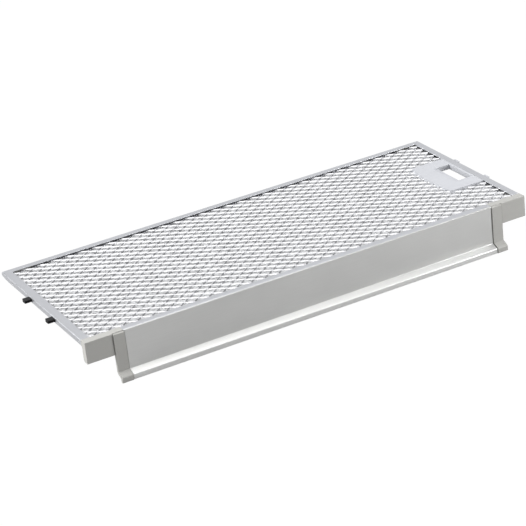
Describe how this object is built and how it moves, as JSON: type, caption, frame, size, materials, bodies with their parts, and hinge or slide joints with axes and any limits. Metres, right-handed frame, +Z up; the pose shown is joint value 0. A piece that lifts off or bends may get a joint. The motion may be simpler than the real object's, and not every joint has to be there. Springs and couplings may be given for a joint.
{
  "type": "range hood grease filter",
  "caption": "Flat metal grease filter in a folded frame, with a front trim panel and grip lip, fixed pegs at the left end and a spring latch with a finger hole at the right.",
  "frame": {"origin": "bottom centre of the bounding box", "axes": "+X along the length towards the latch, +Y from the trim panel to the back rail, +Z up out of the upper mesh"},
  "size_m": [0.5116, 0.211, 0.05],
  "materials": {
    "rail": "satin",
    "mesh": "bright expanded metal",
    "foil": "bright foil",
    "panel": "satin anodised",
    "grey_plastic": "moulded, fine grain",
    "black_plastic": "gloss",
    "latch_plastic": "satin",
    "steel": "zinc plated"
  },
  "bodies": {
    "cassette": {"front_rail": "rail", "back_rail": "rail", "left_rail": "rail", "right_rail": "rail", "back_left_key": "grey_plastic", "back_right_key": "grey_plastic", "upper_mesh": "mesh", "filter_layer_1": "foil", "filter_layer_2": "foil", "filter_layer_3": "foil", "filter_layer_4": "foil", "lower_mesh": "mesh", "trim_panel": "panel", "left_end_piece": "grey_plastic", "right_end_piece": "grey_plastic", "trim_rivets": "steel", "peg_bar": "black_plastic", "latch_cover": "latch_plastic", "latch_base": "latch_plastic", "latch_spring_front": "steel", "latch_spring_back": "steel", "latch_screws": "steel"},
    "latch": {"latch_slide": "latch_plastic"}
  },
  "joints": [
    {"name": "latch_pull", "type": "slide", "parent": "cassette", "child": "latch", "axis": [-1, 0, 0], "range_m": [0, 0.0045], "stiffness_N_per_m": 600, "springref_m": -0.003, "deforming": ["latch_spring_front", "latch_spring_back"]}
  ]
}
